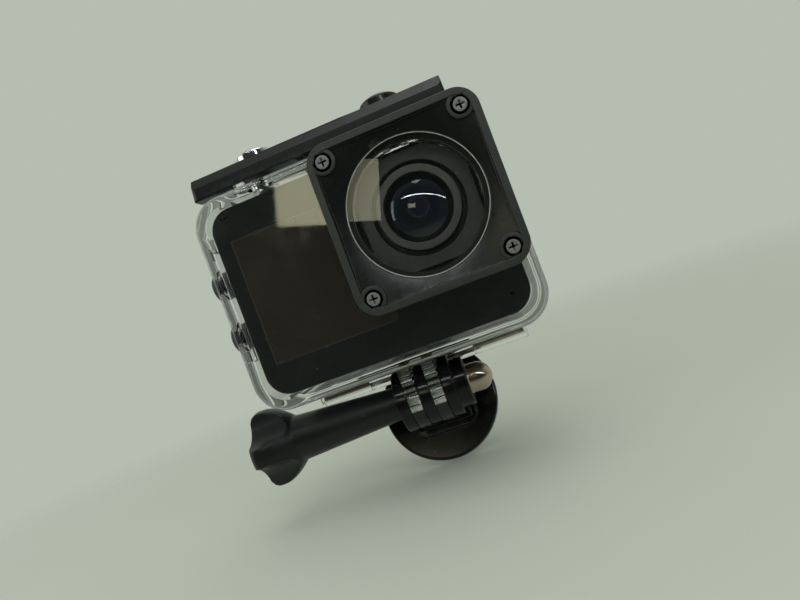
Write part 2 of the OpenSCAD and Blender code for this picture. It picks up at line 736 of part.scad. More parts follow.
module tripod_base() color([0.03, 0.03, 0.03]) at_base() difference() {
    union() {
        for (i = [0, 2, 4]) translate([stack_x + i * pitch, 0, 0]) {
            rod_x(finger_r, 0, finger_t);
            translate([0, -saddle_d / 2, -disc_reach]) cube([finger_t, saddle_d, disc_reach]);
        }
        translate([stack_x, -saddle_d / 2, -disc_reach]) cube([stack_w, saddle_d, disc_reach - saddle]);
        translate([mount_x, 0, -disc_reach - eps]) linear_extrude(pad_t + eps)
            round_rect(pad_w, pad_d, 3);
        translate([mount_x, 0, -disc_back]) base_disc();
        rod_x(nut_boss_r, stack_x + stack_w - eps, stack_x + stack_w + nut_boss_w);
    }
    rod_x(rod_hole_r, -50, 50);
    translate([mount_x, 0, -disc_back - 1]) cylinder(r = insert_r, h = insert_l + 1);
    translate([nut_x, 0, 0]) rotate([0, 90, 0]) cylinder(r = nut_r + fit, h = 10, $fn = 6);
}

// Round disc with eased edges
module base_disc() rotate_extrude(convexity = 2) {
    edge = 0.5;
    polygon([[0, 0], [disc_r - edge, 0], [disc_r, edge], [disc_r, disc_t - edge],
        [disc_r - edge, disc_t], [0, disc_t]]);
}

module thread_insert() color([0.72, 0.58, 0.3]) at_base()
    translate([mount_x, 0, -disc_back]) difference() {
        cylinder(r = insert_r, h = insert_l);
        translate([0, 0, -1]) cylinder(r = socket_r, h = socket_depth + 1);
    }

// Domed nut held in the hexagon of the base
module acorn_nut() color([0.8, 0.78, 0.74]) at_base() translate([nut_x, 0, 0]) {
    dome_r = nut_r * 0.82;
    difference() {
        union() {
            rotate([0, 90, 0]) cylinder(r = nut_r, h = nut_h, $fn = 6);
            rod_x(dome_r, nut_h - eps, nut_h + 2);
            translate([nut_h + 2, 0, 0]) sphere(r = dome_r);
        }
        rod_x(rod_hole_r, -1, nut_h + 3);
    }
}

// Long tapered handle with a four-lobed knob on its far end
module thumb_handle() color([0.05, 0.055, 0.06]) at_pivot() difference() {
    translate([stack_x - slip, 0, 0]) rotate([0, -90, 0]) rotate_extrude() handle_outline();
    for (a = [45 : 90 : 315]) rotate([a, 0, 0]) translate([0, 0, knob_r + 3.6])
        rod_x(knob_r - 2.8, -handle_w - 20, stack_x - handle_w + knob_w + 3);
    rod_x(rod_r + 0.01, rod_end_x, 5);
}

module handle_outline() {
    neck = handle_w - knob_w;
    flare = [for (i = [0 : 8]) let (t = i / 8)
        [handle_neck_r + (knob_r - handle_neck_r) * sin(90 * t), neck + (knob_w - 3) * t]];
    polygon(concat([[0, 0], [handle_tip_r, 0]], flare, [
        [knob_r, handle_w - 1.6], [knob_r - 0.6, handle_w - 0.6], [knob_r - 1.6, handle_w], [0, handle_w]
    ]));
}

module clamp_screw() color([0.7, 0.7, 0.72])
    at_pivot() rod_x(rod_r, rod_end_x + 0.05, nut_x + nut_h + 2.6);

place() case_shell();
place() lens_frame();
place() window_glass();
place() window_seal();
place() frame_screws();
place() rear_door();
place() door_seal();
place() hinge_pin();
place() latch_bar();
place() latch_strap();
place() latch_pins();
place() strap_pin();
place() shutter_button();
place() shutter_spring();
place() shutter_seal();
place() power_button();
place() power_spring();
place() power_seal();
place() side_button_upper();
place() side_button_lower();
place() side_boots();
place() side_seals();
place() front_panel();
place() front_display();
place() lens_plate();
place() lens_ring();
place() lens_barrel();
place() lens_element();
place() camera_casing();
place() rear_cover();
place() rear_screen();
place() cover_screws();
place() battery();
place() battery_door();
place() main_board();
place() image_sensor();
place() shutter_key();
place() power_key();
place() side_key_upper();
place() side_key_lower();
place() tripod_base();
place() thread_insert();
place() acorn_nut();
place() thumb_handle();
place() clamp_screw();
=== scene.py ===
import json
import math

import bmesh
import bpy
from mathutils import Matrix, Vector


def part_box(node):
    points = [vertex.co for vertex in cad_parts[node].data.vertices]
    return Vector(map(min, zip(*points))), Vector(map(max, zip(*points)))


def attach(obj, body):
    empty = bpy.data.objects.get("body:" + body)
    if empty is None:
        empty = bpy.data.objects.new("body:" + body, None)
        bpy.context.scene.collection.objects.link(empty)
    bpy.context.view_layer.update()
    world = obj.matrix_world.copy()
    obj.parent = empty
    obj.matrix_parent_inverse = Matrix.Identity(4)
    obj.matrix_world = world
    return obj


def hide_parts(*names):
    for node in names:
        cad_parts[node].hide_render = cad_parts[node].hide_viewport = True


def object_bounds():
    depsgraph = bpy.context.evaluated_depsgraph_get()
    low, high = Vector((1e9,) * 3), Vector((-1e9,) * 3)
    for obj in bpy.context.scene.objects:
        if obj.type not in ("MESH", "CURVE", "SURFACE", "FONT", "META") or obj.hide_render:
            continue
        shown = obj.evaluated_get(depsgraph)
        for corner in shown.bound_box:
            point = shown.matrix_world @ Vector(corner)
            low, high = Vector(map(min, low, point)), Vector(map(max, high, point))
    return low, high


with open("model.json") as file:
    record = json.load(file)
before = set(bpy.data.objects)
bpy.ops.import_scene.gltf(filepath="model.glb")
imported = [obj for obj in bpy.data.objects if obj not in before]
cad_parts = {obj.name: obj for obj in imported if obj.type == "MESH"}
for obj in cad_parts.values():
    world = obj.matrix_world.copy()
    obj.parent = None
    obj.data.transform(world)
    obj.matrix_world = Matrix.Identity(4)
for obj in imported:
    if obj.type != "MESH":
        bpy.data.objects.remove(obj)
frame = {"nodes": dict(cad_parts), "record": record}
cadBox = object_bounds()
nodes = frame["nodes"]
scene = bpy.context.scene
mm = 0.001

# Places that several pieces share: middles seen from the front, each on the front face of its piece
casingLow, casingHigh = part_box("camera_casing")
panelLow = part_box("front_panel")[0]
lensLow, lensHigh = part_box("lens_ring")
middle = Vector(((casingLow.x + casingHigh.x) / 2, panelLow.y, (casingLow.z + casingHigh.z) / 2))
lensMiddle = Vector(((lensLow.x + lensHigh.x) / 2, panelLow.y, (lensLow.z + lensHigh.z) / 2))
frameLow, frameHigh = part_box("lens_frame")
frameMiddle = Vector(((frameLow.x + frameHigh.x) / 2, frameLow.y, (frameLow.z + frameHigh.z) / 2))
windowLow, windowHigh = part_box("window_glass")
windowMiddle = Vector(((windowLow.x + windowHigh.x) / 2, windowLow.y, (windowLow.z + windowHigh.z) / 2))


def newGroup(name, inputs, outputs):
    group = bpy.data.node_groups.new(name, "ShaderNodeTree")
    for label, kind, value in inputs:
        socket = group.interface.new_socket(label, in_out="INPUT", socket_type=kind)
        if value is not None:
            socket.default_value = value
    for label, kind in outputs:
        group.interface.new_socket(label, in_out="OUTPUT", socket_type=kind)
    return group, group.nodes.new("NodeGroupInput"), group.nodes.new("NodeGroupOutput")


def addNode(tree, kind, links=None, **values):
    node = tree.nodes.new(kind)
    for key, value in values.items():
        setattr(node, key, value)
    for socket, source in (links or {}).items():
        target = node.inputs[socket]
        if isinstance(source, bpy.types.NodeSocket):
            tree.links.new(source, target)
        else:
            target.default_value = source
    return node


def makeGrainGroup():
    group, start, end = newGroup(
        "mouldedGrain",
        [("Size", "NodeSocketFloat", 0.3), ("Roughness", "NodeSocketFloat", 0.4),
         ("Variation", "NodeSocketFloat", 0.08)],
        [("Height", "NodeSocketFloat"), ("Roughness", "NodeSocketFloat")])
    coords = addNode(group, "ShaderNodeTexCoord")
    scale = addNode(group, "ShaderNodeMath", {0: 1000.0, 1: start.outputs["Size"]}, operation="DIVIDE")
    grain = addNode(group, "ShaderNodeTexNoise", {
        "Vector": coords.outputs["Object"], "Scale": scale.outputs[0], "Detail": 3.0, "Roughness": 0.6})
    cloud = addNode(group, "ShaderNodeTexNoise", {
        "Vector": coords.outputs["Object"], "Scale": 140.0, "Detail": 4.0, "Roughness": 0.55})
    swing = addNode(group, "ShaderNodeMath", {0: cloud.outputs["Fac"], 1: -0.5}, operation="ADD")
    swing = addNode(group, "ShaderNodeMath", {
        0: swing.outputs[0], 1: start.outputs["Variation"], 2: start.outputs["Roughness"]},
        operation="MULTIPLY_ADD")
    group.links.new(grain.outputs["Fac"], end.inputs["Height"])
    group.links.new(swing.outputs[0], end.inputs["Roughness"])
    return group


def makeSmudgeGroup():
    group, start, end = newGroup(
        "handlingMarks",
        [("Amount", "NodeSocketFloat", 0.5), ("Scale", "NodeSocketFloat", 90.0)],
        [("Smudge", "NodeSocketFloat"), ("Dust", "NodeSocketFloat"), ("Hairline", "NodeSocketFloat")])
    coords = addNode(group, "ShaderNodeTexCoord")
    broad = addNode(group, "ShaderNodeTexNoise", {
        "Vector": coords.outputs["Object"], "Scale": start.outputs["Scale"], "Detail": 5.0,
        "Roughness": 0.62, "Distortion": 1.2})
    smudge = addNode(group, "ShaderNodeMapRange", {
        "Value": broad.outputs["Fac"], "From Min": 0.48, "From Max": 0.72, "To Min": 0.0})
    group.links.new(start.outputs["Amount"], smudge.inputs["To Max"])
    specks = addNode(group, "ShaderNodeTexVoronoi", {
        "Vector": coords.outputs["Object"], "Scale": 620.0, "Randomness": 1.0})
    thin = addNode(group, "ShaderNodeTexNoise", {
        "Vector": coords.outputs["Object"], "Scale": 210.0, "Detail": 2.0})
    near = addNode(group, "ShaderNodeMapRange", {
        "Value": specks.outputs["Distance"], "From Min": 0.03, "From Max": 0.1, "To Min": 1.0, "To Max": 0.0})
    seldom = addNode(group, "ShaderNodeMapRange", {
        "Value": thin.outputs["Fac"], "From Min": 0.6, "From Max": 0.66})
    dust = addNode(group, "ShaderNodeMath", {0: near.outputs[0], 1: seldom.outputs[0]}, operation="MULTIPLY")
    turned = addNode(group, "ShaderNodeMapping", {
        "Vector": coords.outputs["Object"], "Rotation": (0.5, 0.3, 0.9), "Scale": (1.0, 22.0, 1.0)})
    lines = addNode(group, "ShaderNodeTexNoise", {
        "Vector": turned.outputs[0], "Scale": 120.0, "Detail": 2.0, "Distortion": 0.4})
    hairline = addNode(group, "ShaderNodeMapRange", {
        "Value": lines.outputs["Fac"], "From Min": 0.7, "From Max": 0.76})
    group.links.new(smudge.outputs[0], end.inputs["Smudge"])
    group.links.new(dust.outputs[0], end.inputs["Dust"])
    group.links.new(hairline.outputs[0], end.inputs["Hairline"])
    return group


def makeWearGroup():
    group, start, end = newGroup(
        "edgeWear",
        [("Sharpness", "NodeSocketFloat", 0.53), ("Amount", "NodeSocketFloat", 0.5)],
        [("Wear", "NodeSocketFloat")])
    geometry = addNode(group, "ShaderNodeNewGeometry")
    coords = addNode(group, "ShaderNodeTexCoord")
    breakUp = addNode(group, "ShaderNodeTexNoise", {
        "Vector": coords.outputs["Object"], "Scale": 700.0, "Detail": 4.0, "Roughness": 0.7})
    top = addNode(group, "ShaderNodeMath", {0: start.outputs["Sharpness"], 1: 0.08}, operation="ADD")
    edge = addNode(group, "ShaderNodeMapRange", {
        "Value": geometry.outputs["Pointiness"], "From Min": start.outputs["Sharpness"],
        "From Max": top.outputs[0]})
    patchy = addNode(group, "ShaderNodeMapRange", {
        "Value": breakUp.outputs["Fac"], "From Min": 0.42, "From Max": 0.62})
    both = addNode(group, "ShaderNodeMath", {0: edge.outputs[0], 1: patchy.outputs[0]}, operation="MULTIPLY")
    wear = addNode(group, "ShaderNodeMath", {0: both.outputs[0], 1: start.outputs["Amount"]},
                   operation="MULTIPLY")
    group.links.new(wear.outputs[0], end.inputs["Wear"])
    return group


grainGroup = makeGrainGroup()
smudgeGroup = makeSmudgeGroup()
wearGroup = makeWearGroup()
print("shared effects ready")


def useGroup(tree, group, links=None):
    node = tree.nodes.new("ShaderNodeGroup")
    node.node_tree = group
    for socket, source in (links or {}).items():
        if isinstance(source, bpy.types.NodeSocket):
            tree.links.new(source, node.inputs[socket])
        else:
            node.inputs[socket].default_value = source
    return node


def newMaterial(name, **fixed):
    material = bpy.data.materials.new(name)
    material.use_nodes = True
    tree = material.node_tree
    shader = tree.nodes["Principled BSDF"]
    for socket, value in fixed.items():
        shader.inputs[socket.replace("_", " ")].default_value = value
    return material, tree, shader


def mixColor(tree, factor, first, second):
    mix = addNode(tree, "ShaderNodeMix", {6: first, 7: second}, data_type="RGBA")
    tree.links.new(factor, mix.inputs[0])
    return mix.outputs[2]


def addBump(tree, shader, height, strength, distance):
    bump = addNode(tree, "ShaderNodeBump", {"Height": height, "Strength": strength, "Distance": distance})
    tree.links.new(bump.outputs[0], shader.inputs["Normal"])


def brighter(color, factor, lift=0.0):
    return tuple(min(1.0, c * factor + lift) for c in color[:3]) + (1.0,)


def mouldedPlastic(name, color, roughness, grainSize, grainDepth, smudge=0.12, variation=0.1):
    material, tree, shader = newMaterial(name, Specular_IOR_Level=0.36)
    grain = useGroup(tree, grainGroup, {"Size": grainSize, "Roughness": roughness, "Variation": variation})
    marks = useGroup(tree, smudgeGroup, {"Amount": smudge})
    worn = useGroup(tree, wearGroup, {"Amount": 0.5})
    rough = addNode(tree, "ShaderNodeMath", {0: grain.outputs["Roughness"], 1: marks.outputs["Smudge"]},
                    operation="ADD", use_clamp=True)
    base = mixColor(tree, worn.outputs["Wear"], color, brighter(color, 3.2, 0.02))
    base = mixColor(tree, marks.outputs["Dust"], base, (0.35, 0.34, 0.32, 1.0))
    tree.links.new(base, shader.inputs["Base Color"])
    tree.links.new(rough.outputs[0], shader.inputs["Roughness"])
    addBump(tree, shader, grain.outputs["Height"], 0.5, grainDepth * mm)
    return material


def letLightIn(tree, shader):  # clear plastic hardly shades what it covers
    path = addNode(tree, "ShaderNodeLightPath")
    soft = addNode(tree, "ShaderNodeMath", {
        0: path.outputs["Is Shadow Ray"], 1: path.outputs["Is Diffuse Ray"]}, operation="MAXIMUM")
    share = addNode(tree, "ShaderNodeMath", {0: soft.outputs[0], 1: -0.9, 2: 1.0}, operation="MULTIPLY_ADD")
    tree.links.new(share.outputs[0], shader.inputs["Alpha"])


def clearPlastic(name, color, ior, roughness, smudge, waviness):
    material, tree, shader = newMaterial(name, Transmission_Weight=1.0, IOR=ior)
    marks = useGroup(tree, smudgeGroup, {"Amount": smudge, "Scale": 70.0})
    coords = addNode(tree, "ShaderNodeTexCoord")
    flow = addNode(tree, "ShaderNodeTexNoise", {
        "Vector": coords.outputs["Object"], "Scale": 85.0, "Detail": 1.5, "Roughness": 0.4})
    rough = addNode(tree, "ShaderNodeMath", {0: marks.outputs["Smudge"], 1: roughness}, operation="ADD")
    scratched = addNode(tree, "ShaderNodeMath", {0: marks.outputs["Hairline"], 1: 0.1, 2: rough.outputs[0]},
                        operation="MULTIPLY_ADD")
    shader.inputs["Base Color"].default_value = color
    tree.links.new(scratched.outputs[0], shader.inputs["Roughness"])
    addBump(tree, shader, flow.outputs["Fac"], 0.35, waviness * mm)
    letLightIn(tree, shader)
    return material


def framePlastic(name):  # the raised rim is painted lighter than the smooth dish inside it, a painted highlight for the light its flat face catches, and it is duller too
    material, tree, shader = newMaterial(name, IOR=1.5)
    coords = addNode(tree, "ShaderNodeTexCoord")
    split = addNode(tree, "ShaderNodeSeparateXYZ", {"Vector": coords.outputs["Object"]})
    raised = addNode(tree, "ShaderNodeMapRange", {
        "Value": split.outputs["Y"], "From Min": frameLow.y + 0.45 * mm, "From Max": frameLow.y + 0.1 * mm})
    grain = useGroup(tree, grainGroup, {"Size": 0.22, "Roughness": 0.27, "Variation": 0.1})
    marks = useGroup(tree, smudgeGroup, {"Amount": 0.1})
    worn = useGroup(tree, wearGroup, {"Amount": 0.5})
    # painted highlight: where the frame stands raised (its rim and the screw collars) the colour is lighter
    base = mixColor(tree, raised.outputs[0], (0.006, 0.0072, 0.0072, 1), (0.027, 0.03, 0.028, 1))
    base = mixColor(tree, worn.outputs["Wear"], base, (0.085, 0.088, 0.082, 1))
    base = mixColor(tree, marks.outputs["Dust"], base, (0.3, 0.3, 0.28, 1))
    duller = addNode(tree, "ShaderNodeMath", {
        0: raised.outputs[0], 1: 0.14, 2: grain.outputs["Roughness"]}, operation="MULTIPLY_ADD")
    rough = addNode(tree, "ShaderNodeMath", {
        0: duller.outputs[0], 1: marks.outputs["Smudge"]}, operation="ADD")
    tree.links.new(base, shader.inputs["Base Color"])
    tree.links.new(rough.outputs[0], shader.inputs["Roughness"])
    addBump(tree, shader, grain.outputs["Height"], 0.5, 0.008 * mm)
    return material


def smokedPlastic(name, color, ior):
    material, tree, shader = newMaterial(name, Transmission_Weight=0.75, IOR=ior)
    marks = useGroup(tree, smudgeGroup, {"Amount": 0.15, "Scale": 120.0})
    grain = useGroup(tree, grainGroup, {"Size": 0.5, "Roughness": 0.12, "Variation": 0.06})
    base = mixColor(tree, marks.outputs["Smudge"], color, brighter(color, 0.8))
    tree.links.new(base, shader.inputs["Base Color"])
    tree.links.new(grain.outputs["Roughness"], shader.inputs["Roughness"])
    return material


def turnedMetal(name, color, roughness, lineStrength=0.15, metallic=1.0, axis="Y"):
    material, tree, shader = newMaterial(name, Metallic=metallic)
    coords = addNode(tree, "ShaderNodeTexCoord")
    stretch = {"X": (40.0, 1.0, 1.0), "Y": (1.0, 40.0, 1.0)}[axis]  # fine lines round the turning axis
    lines = addNode(tree, "ShaderNodeMapping", {"Vector": coords.outputs["Object"], "Scale": stretch})
    turning = addNode(tree, "ShaderNodeTexNoise", {"Vector": lines.outputs[0], "Scale": 160.0, "Detail": 3.0})
    marks = useGroup(tree, smudgeGroup, {"Amount": 0.1})
    rough = addNode(tree, "ShaderNodeMath", {
        0: turning.outputs["Fac"], 1: lineStrength, 2: roughness - lineStrength / 2},
        operation="MULTIPLY_ADD")
    rough = addNode(tree, "ShaderNodeMath", {0: rough.outputs[0], 1: marks.outputs["Smudge"]},
                    operation="ADD", use_clamp=True)
    worn = useGroup(tree, wearGroup, {"Amount": 0.6})
    base = mixColor(tree, worn.outputs["Wear"], color, brighter(color, 1.5))
    tree.links.new(base, shader.inputs["Base Color"])
    tree.links.new(rough.outputs[0], shader.inputs["Roughness"])
    addBump(tree, shader, turning.outputs["Fac"], 0.2, 0.01 * mm)
    return material


def rectangleMask(tree, low, high):  # inside and outline of a rectangle seen from the front
    coords = addNode(tree, "ShaderNodeTexCoord")
    split = addNode(tree, "ShaderNodeSeparateXYZ", {"Vector": coords.outputs["Object"]})
    sides = []
    for axis, start, end in (("X", low.x, high.x), ("Z", low.z, high.z)):
        away = addNode(tree, "ShaderNodeMath", {
            0: split.outputs[axis], 1: (start + end) / 2}, operation="SUBTRACT")
        size = addNode(tree, "ShaderNodeMath", {0: away.outputs[0]}, operation="ABSOLUTE")
        sides.append(addNode(tree, "ShaderNodeMath", {0: size.outputs[0], 1: (end - start) / 2},
                             operation="SUBTRACT").outputs[0])
    past = addNode(tree, "ShaderNodeMath", {0: sides[0], 1: sides[1]}, operation="MAXIMUM")
    inside = addNode(tree, "ShaderNodeMapRange", {
        "Value": past.outputs[0], "From Min": 0.04 * mm, "From Max": -0.04 * mm})
    close = addNode(tree, "ShaderNodeMath", {0: past.outputs[0]}, operation="ABSOLUTE")
    outline = addNode(tree, "ShaderNodeMapRange", {
        "Value": close.outputs[0], "From Min": 0.28 * mm, "From Max": 0.12 * mm})
    return inside.outputs[0], outline.outputs[0]


def glossPanel(name, color, roughness, smudge=0.22, screen=None):
    material, tree, shader = newMaterial(name, IOR=1.52, Coat_Weight=0.6, Coat_Roughness=0.03)
    marks = useGroup(tree, smudgeGroup, {"Amount": smudge, "Scale": 55.0})
    rough = addNode(tree, "ShaderNodeMath", {0: marks.outputs["Smudge"], 1: roughness}, operation="ADD")
    base = color
    if screen:  # the dark display shows faintly through the front
        inside, outline = rectangleMask(tree, *screen)
        base = mixColor(tree, inside, base, (0.024, 0.0185, 0.014, 1))
        base = mixColor(tree, outline, base, (0.032, 0.031, 0.028, 1))
    base = mixColor(tree, marks.outputs["Dust"], base, (0.3, 0.3, 0.29, 1.0))
    tree.links.new(base, shader.inputs["Base Color"])
    tree.links.new(rough.outputs[0], shader.inputs["Roughness"])
    return material


def softRubber(name, color, roughness):
    material, tree, shader = newMaterial(name, Sheen_Weight=0.15, Sheen_Roughness=0.5)
    grain = useGroup(tree, grainGroup, {"Size": 0.5, "Roughness": roughness, "Variation": 0.15})
    marks = useGroup(tree, smudgeGroup, {"Amount": 0.1})
    base = mixColor(tree, marks.outputs["Smudge"], color, brighter(color, 1.8, 0.02))
    tree.links.new(base, shader.inputs["Base Color"])
    tree.links.new(grain.outputs["Roughness"], shader.inputs["Roughness"])
    addBump(tree, shader, grain.outputs["Height"], 0.4, 0.02 * mm)
    return material


lensPaintedReflections = {  # colour of the front lens by distance from its middle, as shares of its radius: a dark coated base with painted reflections, where the lighter rings and the purple middle stand for reflections off the inner lens elements
    "radius": 7.3, "stops": ((0.0, (0.006, 0.003, 0.012, 1)), (0.24, (0.01, 0.006, 0.02, 1)),
                             (0.3, (0.02, 0.022, 0.03, 1)), (0.34, (0.003, 0.003, 0.007, 1)),
                             (0.6, (0.0028, 0.0038, 0.009, 1)), (0.66, (0.009, 0.012, 0.02, 1)),
                             (0.72, (0.0025, 0.003, 0.007, 1)), (0.95, (0.001, 0.001, 0.002, 1))),
}


def coatedGlass(name, coatTint):
    material, tree, shader = newMaterial(name, IOR=1.7, Coat_Weight=1.0, Coat_Roughness=0.01)
    shader.inputs["Coat Tint"].default_value = coatTint
    marks = useGroup(tree, smudgeGroup, {"Amount": 0.1, "Scale": 150.0})
    coords = addNode(tree, "ShaderNodeTexCoord")
    away = addNode(tree, "ShaderNodeVectorMath", {
        0: coords.outputs["Object"], 1: lensMiddle}, operation="SUBTRACT")
    flat = addNode(tree, "ShaderNodeVectorMath", {
        0: away.outputs[0], 1: (1.0, 0.0, 1.0)}, operation="MULTIPLY")
    reach = addNode(tree, "ShaderNodeVectorMath", {0: flat.outputs[0]}, operation="LENGTH")
    share = addNode(tree, "ShaderNodeMath", {
        0: reach.outputs["Value"], 1: lensPaintedReflections["radius"] * mm}, operation="DIVIDE")
    # painted reflections: lighter rings and a purple middle stand for reflections off the inner lens elements
    ramp = addNode(tree, "ShaderNodeValToRGB", {"Fac": share.outputs[0]})
    elements = ramp.color_ramp.elements
    elements.remove(elements[1])
    for i, (position, color) in enumerate(lensPaintedReflections["stops"]):
        element = elements[0] if i == 0 else elements.new(position)
        element.position, element.color = position, color
    tree.links.new(ramp.outputs["Color"], shader.inputs["Base Color"])
    tree.links.new(marks.outputs["Smudge"], shader.inputs["Roughness"])
    return material


def circuitFinish(name):
    material, tree, shader = newMaterial(name, Coat_Weight=0.4)
    coords = addNode(tree, "ShaderNodeTexCoord")
    tracks = addNode(tree, "ShaderNodeTexBrick", {
        "Vector": coords.outputs["Object"], "Scale": 180.0, "Mortar Size": 0.03,
        "Color1": (0.01, 0.09, 0.035, 1), "Color2": (0.012, 0.12, 0.045, 1), "Mortar": (0.05, 0.26, 0.1, 1)})
    pads = addNode(tree, "ShaderNodeTexVoronoi", {"Vector": coords.outputs["Object"], "Scale": 320.0})
    pad = addNode(tree, "ShaderNodeMapRange", {
        "Value": pads.outputs["Distance"], "From Min": 0.14, "From Max": 0.16, "To Min": 1.0, "To Max": 0.0})
    base = mixColor(tree, pad.outputs[0], tracks.outputs["Color"], (0.6, 0.5, 0.25, 1))
    tree.links.new(base, shader.inputs["Base Color"])
    tree.links.new(pad.outputs[0], shader.inputs["Metallic"])
    shader.inputs["Roughness"].default_value = 0.35
    return material


finishes = {
    "clear_case": clearPlastic("clearPolycarbonate", (0.99, 0.995, 0.985, 1), 1.54, 0.02, 0.05, 0.004),
    "window": clearPlastic("windowGlass", (0.985, 0.995, 0.99, 1), 1.5, 0.0, 0.03, 0.002),
    # the pale grey of the window's serrated edge is a painted highlight, standing for its bright glint
    "window_edge": mouldedPlastic("windowEdgeHighlight", (0.42, 0.44, 0.4, 1), 0.22, 0.3, 0.004, smudge=0.1),
    "frame_plastic": framePlastic("frameBlack"),
    "latch_plastic": mouldedPlastic("latchBlack", (0.0045, 0.0062, 0.0068, 1), 0.36, 0.22, 0.016),
    "base_plastic": mouldedPlastic("baseBlack", (0.0028, 0.003, 0.0032, 1), 0.14, 0.6, 0.004,
                                   smudge=0.06, variation=0.04),
    "handle_plastic": mouldedPlastic("handleBlack", (0.0075, 0.0092, 0.0092, 1), 0.36, 0.2, 0.012),
    "plate_plastic": mouldedPlastic("plateBlack", (0.03, 0.031, 0.033, 1), 0.42, 0.18, 0.01),
    "casing_plastic": mouldedPlastic("casingBlack", (0.022, 0.022, 0.024, 1), 0.55, 0.3, 0.03),
    "button_plastic": mouldedPlastic("buttonBlack", (0.012, 0.012, 0.013, 1), 0.16, 0.5, 0.004),
    "side_button_plastic": smokedPlastic("sideButtonSmoke", (0.22, 0.22, 0.25, 1), 1.5),
    "key_plastic": mouldedPlastic("keyGrey", (0.05, 0.05, 0.052, 1), 0.4, 0.3, 0.01),
    "battery_wrap": mouldedPlastic("batteryWrap", (0.05, 0.056, 0.07, 1), 0.4, 0.8, 0.01),
    "panel_gloss": glossPanel("frontGloss", (0.0095, 0.0105, 0.0105, 1), 0.03,
                              screen=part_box("front_display")),
    "display": glossPanel("displayGloss", (0.026, 0.0205, 0.0155, 1), 0.015, 0.12),
    "rubber": softRubber("sealRubber", (0.014, 0.014, 0.014, 1), 0.7),
    "silicone": softRubber("sealSilicone", (0.42, 0.43, 0.42, 1), 0.5),
    "black_steel": turnedMetal("blackSteel", (0.2, 0.2, 0.195, 1), 0.42, 0.12, metallic=0.35),
    "hinge_steel": turnedMetal("hingeSteel", (0.3, 0.25, 0.2, 1), 0.3, 0.2, axis="X"),
    "steel": turnedMetal("plainSteel", (0.56, 0.56, 0.57, 1), 0.28, 0.2, axis="X"),
    "chrome": turnedMetal("buttonChrome", (0.82, 0.83, 0.84, 1), 0.07, 0.04),
    "nickel": turnedMetal("nutNickel", (0.5, 0.4, 0.33, 1), 0.14, 0.06, axis="X"),
    "brass": turnedMetal("insertBrass", (0.66, 0.48, 0.2, 1), 0.3, 0.2),
    "ring_metal": turnedMetal("ringAnodised", (0.075, 0.073, 0.072, 1), 0.42, 0.1, metallic=0.75),
    "lens_glass": coatedGlass("lensCoated", (0.8, 0.92, 1.0, 1)),
    "circuit_board": circuitFinish("boardGreen"),
}
print("finishes ready:", len(finishes))


bodyOf = {n: b for b, members in frame["record"]["behaviour"]["bodies"].items() for n in members}
slotOf = {entry["node"]: entry["material_slot"] for entry in frame["record"]["subparts"]}


def finishPiece(bm, name, node, material=None, replace=True, smoothAngle=35, outward=True):
    bmesh.ops.remove_doubles(bm, verts=bm.verts, dist=0.0005 * mm)
    if outward:
        bmesh.ops.recalc_face_normals(bm, faces=bm.faces)
    mesh = bpy.data.meshes.new(name)
    bm.to_mesh(mesh)
    bm.free()
    mesh.shade_smooth()
    mesh.set_sharp_from_angle(angle=math.radians(smoothAngle))
    piece = bpy.data.objects.new(name, mesh)
    scene.collection.objects.link(piece)
    mesh.materials.append(material or finishes[slotOf[node]])
    if replace:
        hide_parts(node)
    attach(piece, bodyOf[node])
    return piece


def steadyNormals(piece):  # keeps large flat faces flat beside their rounded edges
    fix = piece.modifiers.new("steadyNormals", "WEIGHTED_NORMAL")
    fix.weight = 80
    fix.keep_sharp = True


def mergedCopy(nodeName):
    bm = bmesh.new()
    bm.from_mesh(nodes[nodeName].data)
    bmesh.ops.remove_doubles(bm, verts=bm.verts, dist=0.001 * mm)
    bmesh.ops.dissolve_limit(bm, angle_limit=math.radians(0.5), verts=bm.verts, edges=bm.edges,
                             use_dissolve_boundaries=False)
    return bm


def sharpEdges(bm, angle, accept=None):
    return [e for e in bm.edges if e.is_manifold and e.calc_face_angle() > math.radians(angle)
            and (accept is None or accept(e))]


def easeEdges(bm, edges, radius, segments):
    bmesh.ops.bevel(bm, geom=edges, offset=radius * mm, offset_type="OFFSET", segments=segments,
                    profile=0.5, affect="EDGES", clamp_overlap=False, material=-1)


easing = {"angle": 30, "segments": 2, "cornerSegments": 4}  # edges sharper than the angle are rounded


def easedPiece(nodeName, radius):
    bm = mergedCopy(nodeName)
    easeEdges(bm, sharpEdges(bm, easing["angle"]), radius, easing["segments"])
    steadyNormals(finishPiece(bm, nodeName + "Eased", nodeName, outward=False))


easedSizes = {  # how far the edges of each piece are rounded, in millimetres
    "lens_frame": 0.22, "rear_door": 0.15, "latch_strap": 0.2, "tripod_base": 0.3, "acorn_nut": 0.12,
    "thumb_handle": 0.35, "lens_plate": 0.25, "lens_ring": 0.15, "shutter_button": 0.3,
    "power_button": 0.3, "side_button_upper": 0.2, "side_button_lower": 0.2, "front_panel": 0.25,
    "camera_casing": 0.25, "rear_cover": 0.3, "window_glass": 0.15, "battery": 0.3, "battery_door": 0.15,
    "rear_screen": 0.1, "cover_screws": 0.06, "thread_insert": 0.15, "clamp_screw": 0.3,
}
for nodeName, radius in easedSizes.items():
    easedPiece(nodeName, radius)
print("rounded pieces ready:", len(easedSizes))
for nodeName, node in nodes.items():
    node.data.materials.clear()
    node.data.materials.append(finishes[slotOf[nodeName]])


caseShell = {"round": 1.0, "corner": 8.0, "other": 0.12, "beside": 28, "behind": 0.2, "flat": 0.02}


def nearOutline(point, halfWidth, halfHeight):  # on the rounded rectangle around the camera's middle
    x, z = abs(point.x - middle.x) / mm, abs(point.z - middle.z) / mm
    inset = caseShell["corner"] + 0.1
    inCorner = x > halfWidth - inset and z > halfHeight - inset
    return x > halfWidth - 0.3 or z > halfHeight - 0.3 or inCorner


